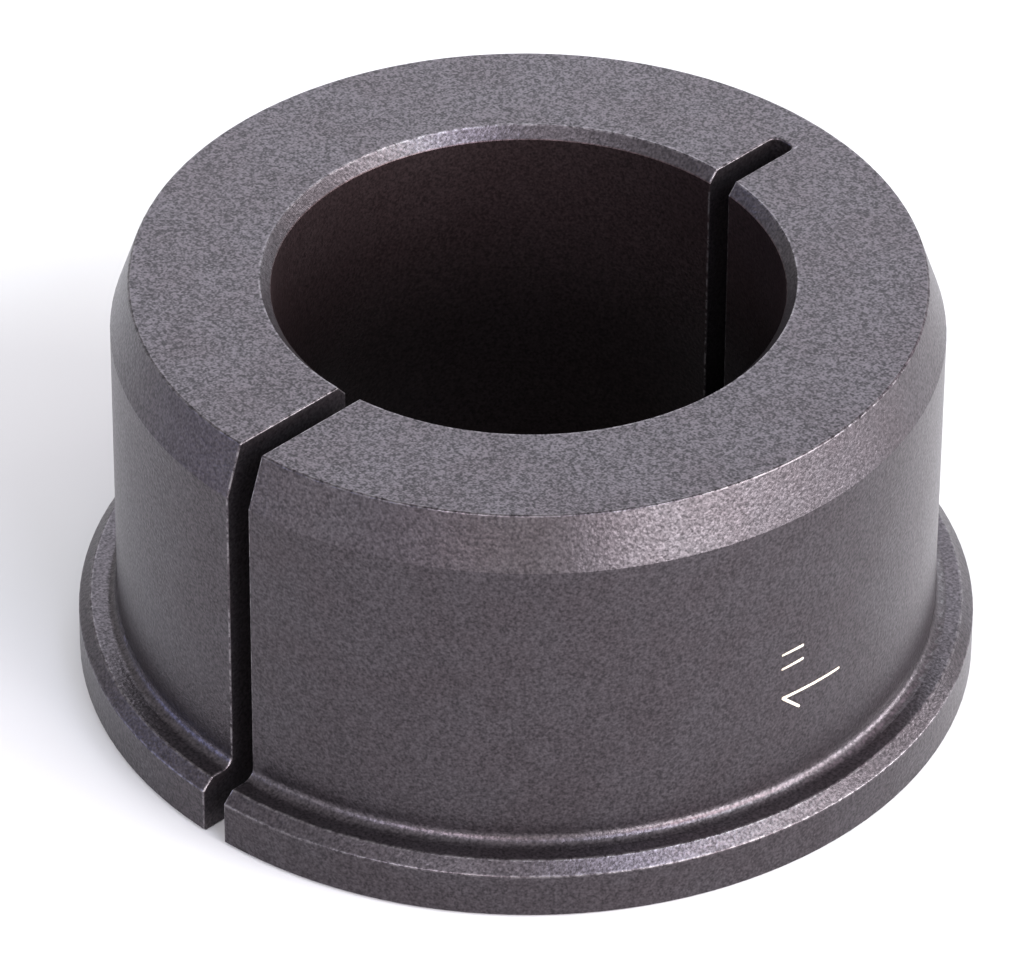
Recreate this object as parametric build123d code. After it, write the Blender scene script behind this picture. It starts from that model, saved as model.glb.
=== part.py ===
from build123d import *
import os

# Split taper bush: one turned and slit steel ring with a thin flange at its foot,
# a parallel body, and a short taper at its nose.
# Frame: +Z is the axis of the bush, nose up. The origin is at the centre of the
# flange's lower face. The through slit is on the -Y side, and the blind relief
# slot is opposite it, on the +Y side. Millimetres.

# ---- turned form ----
BORE_DIA = 25.4           # 1 inch bore
BODY_DIA = 41.275         # parallel body, 1 5/8 inch
LENGTH = 22.2             # overall length along the axis
FLANGE_DIA = 45.2
FLANGE_THICKNESS = 3.1
FLANGE_CHAMFER = 0.6      # 45 degree chamfer on the flange's upper rim
ROOT_RADIUS = 0.6         # fillet where the body meets the flange
NOSE_LENGTH = 2.75        # axial length of the taper at the nose
NOSE_FACE_DIA = 39.4      # small end of the taper, at the nose face
BORE_CHAMFER_R = 0.52     # lead-in at both ends of the bore, radial
BORE_CHAMFER_Z = 0.60     # lead-in at both ends of the bore, axial
FOOT_BREAK = 0.15         # broken edge under the flange's rim
EDGE_SOFT = 0.12          # softened crests left by blasting the turned corners

# ---- sawn slit and relief slot (one cutter, one line across the ring) ----
SAW_WIDTH = 1.35
SAW_OFFSET = 0.85         # the cut's centre plane lies this far to +X of the axis
SLOT_END_Y = 17.45        # bottom of the blind relief slot, from the axis
SLOT_END_RADIUS = 0.45    # corners at the bottom of the relief slot
CUT_EDGE_SOFT = 0.09      # deburred edges all round both cuts

bore_r = BORE_DIA / 2
body_r = BODY_DIA / 2
flange_r = FLANGE_DIA / 2
nose_r = NOSE_FACE_DIA / 2
nose_z = LENGTH - NOSE_LENGTH


def half_section():
    """Half section of the turned ring, radius along X and the axis along Z."""
    pts = [
        (bore_r + BORE_CHAMFER_R, 0.0),
        (flange_r - FOOT_BREAK, 0.0),
        (flange_r, FOOT_BREAK),
        (flange_r, FLANGE_THICKNESS - FLANGE_CHAMFER),
        (flange_r - FLANGE_CHAMFER, FLANGE_THICKNESS),
        (body_r, FLANGE_THICKNESS),
        (body_r, nose_z),
        (nose_r, LENGTH),
        (bore_r + BORE_CHAMFER_R, LENGTH),
        (bore_r, LENGTH - BORE_CHAMFER_Z),
        (bore_r, BORE_CHAMFER_Z),
    ]
    face = make_face(Polyline(*pts, close=True))

    def near(x, y):
        return [v for v in face.vertices()
                if abs(v.X - x) < 1e-6 and abs(v.Y - y) < 1e-6]

    face = fillet(near(body_r, FLANGE_THICKNESS), ROOT_RADIUS)
    for x, y in ((flange_r, FLANGE_THICKNESS - FLANGE_CHAMFER),
                 (flange_r - FLANGE_CHAMFER, FLANGE_THICKNESS),
                 (nose_r, LENGTH)):
        face = fillet([v for v in face.vertices()
                       if abs(v.X - x) < 1e-6 and abs(v.Y - y) < 1e-6], EDGE_SOFT)
    return Plane.XZ * face


def ring():
    return revolve(half_section(), Axis.Z, 360)


def slit_cut():
    """Through slit on the -Y side, from inside the bore out past the flange."""
    y0, y1 = -(flange_r + 2.0), -(bore_r - 4.0)
    return Pos(SAW_OFFSET, (y0 + y1) / 2, LENGTH / 2) * Box(
        SAW_WIDTH, y1 - y0, LENGTH + 4.0)


def slot_cut():
    """Blind relief slot on the +Y side: opens into the bore, stops in the wall."""
    y0, y1 = bore_r - 4.0, SLOT_END_Y
    b = Pos(SAW_OFFSET, (y0 + y1) / 2, LENGTH / 2) * Box(
        SAW_WIDTH, y1 - y0, LENGTH + 4.0)
    far = b.edges().filter_by(Axis.Z).group_by(Axis.Y)[-1]
    return fillet(far, SLOT_END_RADIUS)


def cut_walls(solid, side):
    """The flat walls of the cut on the -Y side (side < 0) or the +Y side."""
    return [f for f in solid.faces()
            if f.geom_type == GeomType.PLANE
            and abs(abs(f.normal_at().X) - 1) < 1e-6
            and (f.center().Y < 0) == (side < 0)]


def distinct(edges):
    kept = []
    for e in edges:
        if not any(e.is_same(k) for k in kept):
            kept.append(e)
    return kept


def make_bush():
    b = ring() - slit_cut() - slot_cut()

    # Rim of the relief slot: every edge round its mouth, in both end faces, both
    # lead-in chamfers and the bore, but not the upright corners at its bottom.
    rim = [e for f in cut_walls(b, 1) for e in f.edges()
           if not (e.center().Y > SLOT_END_Y - 1.0
                   and abs(e.center().Z - LENGTH / 2) < 1.0)]
    for e in b.edges():
        box = e.bounding_box()
        if (box.min.Y > SLOT_END_Y - 0.55 and box.max.Y < SLOT_END_Y + 0.15
                and box.max.Z - box.min.Z < 1e-6):
            rim.append(e)
    b = fillet(distinct(rim), CUT_EDGE_SOFT)

    # Rim of the through slit: every edge of both walls.
    rim = [e for f in cut_walls(b, -1) for e in f.edges()]
    return fillet(distinct(rim), CUT_EDGE_SOFT)


bush = make_bush()
bush.label = "bush"

print("bush volume mm3", round(bush.volume, 2), "solids", len(bush.solids()),
      "valid", bush.is_valid)

os.makedirs("parts", exist_ok=True)
export_step(bush, "parts/bush.step")
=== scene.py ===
import math

import bpy
from mathutils import Matrix, Vector


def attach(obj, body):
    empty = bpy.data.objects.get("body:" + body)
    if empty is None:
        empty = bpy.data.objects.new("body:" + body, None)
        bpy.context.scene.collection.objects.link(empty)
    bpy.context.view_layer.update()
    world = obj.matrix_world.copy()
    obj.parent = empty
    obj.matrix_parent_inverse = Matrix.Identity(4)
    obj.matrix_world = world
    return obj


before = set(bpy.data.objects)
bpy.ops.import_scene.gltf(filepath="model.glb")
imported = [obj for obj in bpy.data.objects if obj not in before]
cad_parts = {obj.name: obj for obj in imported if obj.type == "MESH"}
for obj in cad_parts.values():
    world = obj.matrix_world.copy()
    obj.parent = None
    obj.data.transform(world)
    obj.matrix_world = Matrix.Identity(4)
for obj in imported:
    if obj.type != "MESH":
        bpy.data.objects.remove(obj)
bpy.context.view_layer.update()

MM = 0.001

# ---------------------------------------------------------------------------
# Sizes of the bush, in millimetres, used by the size mark, the wear and painted highlight masks,
# and the painted bore shade
# ---------------------------------------------------------------------------
BODY_R = 20.6375
BORE_R = 12.7
FLANGE_R = 22.6
NOSE_R = 19.7
LENGTH = 22.2
NOSE_Z = 19.45
FLANGE_Z = 3.1
SAW_X = 0.85
SAW_HALF = 0.675


# ---------------------------------------------------------------------------
# Small helpers for node trees
# ---------------------------------------------------------------------------
class Tree:
    """Writes a node tree a line at a time. Every method returns a socket."""

    def __init__(self, tree):
        self.t = tree
        self.x = 0

    def node(self, kind, **props):
        n = self.t.nodes.new(kind)
        n.location = (self.x, 0)
        self.x += 40
        for k, v in props.items():
            setattr(n, k, v)
        return n

    def put(self, socket, value):
        if isinstance(value, bpy.types.NodeSocket):
            self.t.links.new(value, socket)
        else:
            socket.default_value = value

    def math(self, op, a, b=None, c=None, clamp=False):
        n = self.node("ShaderNodeMath", operation=op, use_clamp=clamp)
        self.put(n.inputs[0], a)
        if b is not None:
            self.put(n.inputs[1], b)
        if c is not None:
            self.put(n.inputs[2], c)
        return n.outputs[0]

    def ramp(self, value, a, b, lo=0.0, hi=1.0, smooth=True):
        """value from a..b to lo..hi, clamped."""
        n = self.node("ShaderNodeMapRange", clamp=True)
        n.interpolation_type = "SMOOTHSTEP" if smooth else "LINEAR"
        self.put(n.inputs["Value"], value)
        self.put(n.inputs["From Min"], a)
        self.put(n.inputs["From Max"], b)
        self.put(n.inputs["To Min"], lo)
        self.put(n.inputs["To Max"], hi)
        return n.outputs["Result"]

    def noise(self, coord, scale, detail=2.0, rough=0.5, distort=0.0, w=None):
        n = self.node("ShaderNodeTexNoise")
        if w is not None:
            n.noise_dimensions = "4D"
            n.inputs["W"].default_value = w
        self.put(n.inputs["Vector"], coord)
        n.inputs["Scale"].default_value = scale
        n.inputs["Detail"].default_value = detail
        n.inputs["Roughness"].default_value = rough
        n.inputs["Distortion"].default_value = distort
        return n.outputs["Fac"]

    def voronoi(self, coord, scale, feature="F1", rand=1.0, smooth=0.5):
        n = self.node("ShaderNodeTexVoronoi", feature=feature)
        self.put(n.inputs["Vector"], coord)
        n.inputs["Scale"].default_value = scale
        n.inputs["Randomness"].default_value = rand
        if feature == "SMOOTH_F1":
            n.inputs["Smoothness"].default_value = smooth
        return n.outputs["Distance"]

    def mix(self, fac, a, b, blend="MIX"):
        n = self.node("ShaderNodeMix", data_type="RGBA", blend_type=blend)
        self.put(n.inputs[0], fac)
        self.put(n.inputs[6], a)
        self.put(n.inputs[7], b)
        return n.outputs[2]

    def bump(self, height, distance, strength=1.0, normal=None):
        n = self.node("ShaderNodeBump")
        n.inputs["Strength"].default_value = strength
        n.inputs["Distance"].default_value = distance
        self.put(n.inputs["Height"], height)
        if normal is not None:
            self.put(n.inputs["Normal"], normal)
        return n.outputs["Normal"]


def new_material(name):
    m = bpy.data.materials.new(name)
    m.use_nodes = True
    m.node_tree.nodes.clear()
    t = Tree(m.node_tree)
    out = t.node("ShaderNodeOutputMaterial")
    shader = t.node("ShaderNodeBsdfPrincipled")
    t.t.links.new(shader.outputs[0], out.inputs[0])
    return m, t, shader


def object_mm(t):
    """Object coordinates in millimetres: vector, x, y, z and the radius."""
    tc = t.node("ShaderNodeTexCoord")
    v = t.node("ShaderNodeVectorMath", operation="SCALE")
    t.put(v.inputs[0], tc.outputs["Object"])
    v.inputs["Scale"].default_value = 1000.0
    s = t.node("ShaderNodeSeparateXYZ")
    t.put(s.inputs[0], v.outputs[0])
    x, y, z = s.outputs
    r = t.math("SQRT", t.math("ADD", t.math("MULTIPLY", x, x), t.math("MULTIPLY", y, y)))
    return v.outputs[0], x, y, z, r


# ---------------------------------------------------------------------------
# Blasted, blackened steel
# ---------------------------------------------------------------------------
def blackened_steel():
    m, t, shader = new_material("blackened_steel_blasted")
    p, x, y, z, r = object_mm(t)

    # blast grain: a pebble of about 0.2 mm, specks of about 0.1 mm, and slow
    # clouds where the oxide took unevenly
    pebble = t.noise(p, 5.2, detail=1.0, rough=0.6)
    speck = t.noise(p, 8.6, detail=0.0, w=3.1)
    cloud = t.noise(p, 0.30, detail=2.0, rough=0.55)

    # painted shade: the bore is darkened and given a brownish tint, darker towards the bottom
    bore_shade_mask = t.ramp(r, BORE_R + 0.05, BORE_R + 0.01)

    tone = t.math("ADD", t.math("MULTIPLY", pebble, 0.55), t.math("MULTIPLY", speck, 0.45))
    tone = t.ramp(tone, 0.34, 0.66, smooth=False)
    # the nose face took the blast hardest, so its grain is the strongest
    face = t.ramp(z, LENGTH - 0.10, LENGTH - 0.02)
    tone = t.math("MULTIPLY_ADD", t.math("SUBTRACT", tone, 0.5),
                  t.ramp(face, 0.0, 1.0, 0.74, 1.30, smooth=False), 0.5, clamp=True)
    base = t.mix(tone, (0.0200, 0.0174, 0.0197, 1), (0.0830, 0.0728, 0.0812, 1))
    base = t.mix(t.ramp(cloud, 0.32, 0.68), base, (0.93, 0.90, 0.90, 1), "MULTIPLY")
    # painted shade in the bore: dark low down, lighter near the top
    bore_painted_shade = t.mix(t.ramp(z, 9.5, 19.0), (0.34, 0.28, 0.27, 1), (0.95, 0.74, 0.71, 1))
    base = t.mix(bore_shade_mask, base, bore_painted_shade, "MULTIPLY")

    # rubbed edges and painted highlights: the rims of the nose, bore lip and flange, and both
    # cuts are lightened, partly as real wear and partly as a painted highlight
    def near(rr, zz, reach):
        dr = t.math("SUBTRACT", r, rr)
        dz = t.math("SUBTRACT", z, zz)
        d = t.math("SQRT", t.math("ADD", t.math("MULTIPLY", dr, dr), t.math("MULTIPLY", dz, dz)))
        return t.ramp(d, reach, reach * 0.3)

    rim_wear_highlight = t.math("MAXIMUM", near(NOSE_R - 0.02, LENGTH, 0.14),
                  near(BORE_R + 0.52, LENGTH, 0.12))
    rim_wear_highlight = t.math("MAXIMUM", rim_wear_highlight, near(FLANGE_R, FLANGE_Z - 0.6, 0.13))
    rim_wear_highlight = t.math("MAXIMUM", rim_wear_highlight, near(FLANGE_R - 0.6, FLANGE_Z, 0.13))
    dx = t.math("ABSOLUTE", t.math("SUBTRACT", x, SAW_X))
    cut_wear_highlight = t.math("MULTIPLY", t.ramp(dx, SAW_HALF + 0.006, SAW_HALF + 0.03),
                 t.ramp(dx, SAW_HALF + 0.13, SAW_HALF + 0.07))
    cut_wear_highlight = t.math("MULTIPLY", cut_wear_highlight, t.ramp(y, 17.62, 17.55))
    cut_wear_highlight = t.math("MULTIPLY", cut_wear_highlight, t.ramp(r, BORE_R - 0.3, BORE_R - 0.2))
    patchy = t.ramp(t.noise(p, 2.6, detail=2.0, rough=0.65, w=7.7), 0.42, 0.60)
    wear_and_highlight = t.math("MULTIPLY", t.math("MAXIMUM", t.math("MULTIPLY", rim_wear_highlight, 0.55), cut_wear_highlight), patchy)
    # lighter colour on the edges: part real wear, part painted highlight
    base = t.mix(t.math("MULTIPLY", wear_and_highlight, 0.75), base, (0.20, 0.185, 0.195, 1))
    t.put(shader.inputs["Base Color"], base)

    shader.inputs["Metallic"].default_value = 0.86
    rough = t.ramp(speck, 0.3, 0.7, 0.38, 0.31, smooth=False)
    rough = t.math("SUBTRACT", rough, t.math("MULTIPLY", wear_and_highlight, 0.05))
    t.put(shader.inputs["Roughness"], rough)
    t.put(shader.inputs["Normal"], t.bump(pebble, 0.018 * MM, 1.0))
    return m


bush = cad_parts["bush"]
steel = blackened_steel()
if not bush.material_slots:
    bush.data.materials.append(steel)
for s in bush.material_slots:
    s.material = steel


# ---------------------------------------------------------------------------
# Plain size mark: the numeral one with inch ticks, for the 1 inch bore
# ---------------------------------------------------------------------------
def stroke_outline(a, b, w0, w1, n=7, along=12):
    """A stroke with round ends, flat, in mm, as matching left and right sides."""
    ang = math.atan2(b[1] - a[1], b[0] - a[0])
    ux, uz = math.cos(ang), math.sin(ang)
    length = math.hypot(b[0] - a[0], b[1] - a[1])
    rows = []
    for i in range(n):
        u = math.pi / 2 * i / n
        rows.append((-w0 / 2 * math.cos(u), max(w0 / 2 * math.sin(u), 0.004)))
    for i in range(along + 1):
        f = i / along
        rows.append((length * f, (w0 + (w1 - w0) * f) / 2))
    for i in range(n):
        u = math.pi / 2 * (i + 1) / n
        rows.append((length + w1 / 2 * math.sin(u), max(w1 / 2 * math.cos(u), 0.004)))
    return [((a[0] + ux * s - uz * h, a[1] + uz * s + ux * h),
             (a[0] + ux * s + uz * h, a[1] + uz * s - ux * h)) for s, h in rows]


def size_mark():
    deg = math.radians(1.0) * BODY_R
    strokes = [  # (start angle, z), (end angle, z), widths
        ((-8.40, 11.47), (-4.95, 11.50), 0.12, 0.165),
        ((-8.40, 10.61), (-4.90, 10.68), 0.12, 0.165),
        ((-8.15, 8.80), (2.25, 8.73), 0.17, 0.14),
        ((-8.15, 8.78), (-5.28, 7.83), 0.17, 0.14),
    ]
    verts, faces = [], []
    lift, sink = 0.012, 0.03
    for n, (a, b, w0, w1) in enumerate(strokes):
        rows = stroke_outline((a[0] * deg, a[1]), (b[0] * deg, b[1]), w0, w1)
        k = len(verts)
        top = BODY_R + lift + 0.001 * n
        for left, right in rows:
            for rad in (top, BODY_R - sink):
                for s, zz in (left, right):
                    th = s / BODY_R
                    verts.append((rad * math.cos(th) * MM, rad * math.sin(th) * MM, zz * MM))
        # per row: 0 left top, 1 right top, 2 left low, 3 right low
        for i in range(len(rows) - 1):
            c, d = k + 4 * i, k + 4 * (i + 1)
            faces += [[c, c + 1, d + 1, d], [c + 2, d + 2, d + 3, c + 3],
                      [c, d, d + 2, c + 2], [c + 1, c + 3, d + 3, d + 1]]
        e = k + 4 * (len(rows) - 1)
        faces += [[k, k + 2, k + 3, k + 1], [e, e + 1, e + 3, e + 2]]
    me = bpy.data.meshes.new("size_mark")
    me.from_pydata(verts, [], faces)
    me.validate()
    me.update()
    ob = bpy.data.objects.new("size_mark", me)
    bpy.context.scene.collection.objects.link(ob)

    m, t, shader = new_material("etched_mark_cream")
    p, x, y, z, r = object_mm(t)
    tan = t.ramp(t.noise(p, 5.5, detail=2.0, rough=0.6), 0.38, 0.62)
    left = t.ramp(y, -2.2, -3.0)
    tan = t.math("MAXIMUM", t.math("MULTIPLY", tan, 0.55), t.math("MULTIPLY", left, 0.8))
    t.put(shader.inputs["Base Color"],
          t.mix(tan, (0.44, 0.41, 0.35, 1), (0.30, 0.245, 0.19, 1)))
    shader.inputs["Roughness"].default_value = 0.7
    t.put(shader.inputs["Normal"], t.bump(t.noise(p, 6.2, detail=1.0), 0.01 * MM, 1.0))
    me.materials.append(m)
    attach(ob, "root")
    return ob


mark = size_mark()

# ---------------------------------------------------------------------------
# Floor, lights, world
# ---------------------------------------------------------------------------
FLOOR_ALBEDO = 0.55


def floor():
    s = 3.0
    z = -0.00002
    me = bpy.data.meshes.new("floor")
    me.from_pydata([(-s, -s, z), (s, -s, z), (s, s, z), (-s, s, z)], [], [(0, 1, 2, 3)])
    ob = bpy.data.objects.new("floor", me)
    bpy.context.scene.collection.objects.link(ob)
    m, t, shader = new_material("pale_floor")
    shader.inputs["Base Color"].default_value = (FLOOR_ALBEDO, FLOOR_ALBEDO, FLOOR_ALBEDO, 1)
    shader.inputs["Roughness"].default_value = 0.9
    shader.inputs["Specular IOR Level"].default_value = 0.0
    me.materials.append(m)
    return ob


floor()

# camera azimuth in the object's frame, degrees: 0 looks along +Y
CAM_AZ, CAM_EL, CAM_ROLL = 44.5558, 36.5633, 0.4639


def softbox(name, rel, elev, half_w, half_h, radiance, dist=0.9):
    """A softbox that faces the bush. rel is its bearing from the camera's, and
    half_w and half_h are the half angles that it fills as the bush sees it."""
    a = math.radians(CAM_AZ + rel)
    e = math.radians(elev)
    d = Vector((math.sin(a) * math.cos(e), -math.cos(a) * math.cos(e), math.sin(e)))
    width = 2 * dist * math.tan(math.radians(half_w))
    height = 2 * dist * math.tan(math.radians(half_h))
    top = max(radiance)
    light = bpy.data.lights.new(name, "AREA")
    light.shape = "RECTANGLE"
    light.size = width
    light.size_y = height
    light.energy = top * math.pi * width * height
    light.color = [c / top for c in radiance]
    ob = bpy.data.objects.new(name, light)
    ob.location = Vector((0, 0, 0.01)) + d * dist
    ob.rotation_euler = (-d).to_track_quat("-Z", "Y").to_euler()
    ob.visible_camera = False
    bpy.context.scene.collection.objects.link(ob)
    return ob


SOFTBOXES = [  # name, bearing, elevation, half width, half height, radiance
    ("right_low_a", 37.5, 7, 15, 7, (18.0, 18.4, 18.2)),
    ("right_low_b", 67.5, 7, 15, 7, (15.2, 15.6, 15.6)),
    ("right_low_c", 97.5, 7, 15, 7, (21.6, 21.4, 21.8)),
    ("right_low_d", 20, 7, 5, 7, (4.0, 3.4, 4.0)),
    ("right_mid_a", 48, 23, 12, 9, (8.5, 5.6, 5.6)),
    ("right_mid_b", 72, 23, 12, 9, (14.0, 13.2, 13.4)),
    ("right_high_a", 34, 41, 12, 9, (8.8, 9.2, 11.4)),
    ("right_high_b", 60, 41, 14, 9, (8.8, 10.0, 9.8)),
    ("side_right", 120, 41, 12, 10, (2.4, 1.8, 2.2)),
    ("front_mid", -16, 23, 9, 9, (12.6, 11.0, 11.6)),
    ("front_high", -5, 41, 14, 9, (2.3, 2.4, 2.5)),
    ("front_left", -33, 23, 8, 9, (5.8, 6.2, 7.6)),
    ("front_low", 0, 7, 12, 6, (1.4, 1.5, 1.2)),
    ("back_right", 150, 8, 15, 8, (2.2, 2.3, 2.5)),
    ("back", 180, 33, 18, 14, (2.7, 2.8, 3.1)),
    ("left_cool", 268, 9, 15, 8, (1.4, 1.8, 3.9)),
    ("left_front", 298, 9, 15, 8, (2.9, 3.0, 3.0)),
]
for row in SOFTBOXES:
    softbox(*row)

world = bpy.data.worlds.new("studio")
bpy.context.scene.world = world
world.use_nodes = True
world.node_tree.nodes.clear()
wt = Tree(world.node_tree)
wout = wt.node("ShaderNodeOutputWorld")
wbg = wt.node("ShaderNodeBackground")
wbg.inputs["Color"].default_value = (1, 1, 1, 1)
wbg.inputs["Strength"].default_value = 0.9
wt.t.links.new(wbg.outputs[0], wout.inputs[0])

bpy.context.scene.view_settings.view_transform = "Standard"
bpy.context.scene.view_settings.look = "None"


# ---------------------------------------------------------------------------
# Camera
# ---------------------------------------------------------------------------
def camera():
    f = 8261.708                       # focal length in pixels of a 1024 wide image
    tx, ty = 527.0861, 469.2163        # where the middle of the bush lands
    dist = 413.244
    c = Vector((0.0, 0.0, 10.331))
    a, e, ro = (math.radians(v) for v in (CAM_AZ, CAM_EL, CAM_ROLL))
    back = Vector((math.sin(a) * math.cos(e), -math.cos(a) * math.cos(e), math.sin(e)))
    fwd = -back
    right = Vector((math.cos(a), math.sin(a), 0.0))
    up = right.cross(fwd)
    r2 = right * math.cos(ro) + up * math.sin(ro)
    u2 = -right * math.sin(ro) + up * math.cos(ro)
    ax = math.atan2(tx - 512.0, f)
    ay = math.atan2(-(ty - 486.0) * math.cos(ax), f)
    u3 = u2 * math.cos(ay) + fwd * math.sin(ay)
    f1 = -u2 * math.sin(ay) + fwd * math.cos(ay)
    r3 = r2 * math.cos(ax) + f1 * math.sin(ax)
    f3 = -r2 * math.sin(ax) + f1 * math.cos(ax)
    pos = (c + back * dist) * MM
    m = Matrix((
        (r3.x, u3.x, -f3.x, pos.x),
        (r3.y, u3.y, -f3.y, pos.y),
        (r3.z, u3.z, -f3.z, pos.z),
        (0, 0, 0, 1)))
    cam = bpy.data.cameras.new("camera")
    cam.sensor_fit = "HORIZONTAL"
    cam.sensor_width = 36.0
    cam.lens = f / 1024.0 * 36.0
    cam.clip_start = 0.01
    cam.clip_end = 20.0
    ob = bpy.data.objects.new("camera", cam)
    ob.matrix_world = m
    bpy.context.scene.collection.objects.link(ob)
    bpy.context.scene.camera = ob
    return ob


camera()

# ---------------------------------------------------------------------------
# Update the view layer
# ---------------------------------------------------------------------------
bpy.context.view_layer.update()
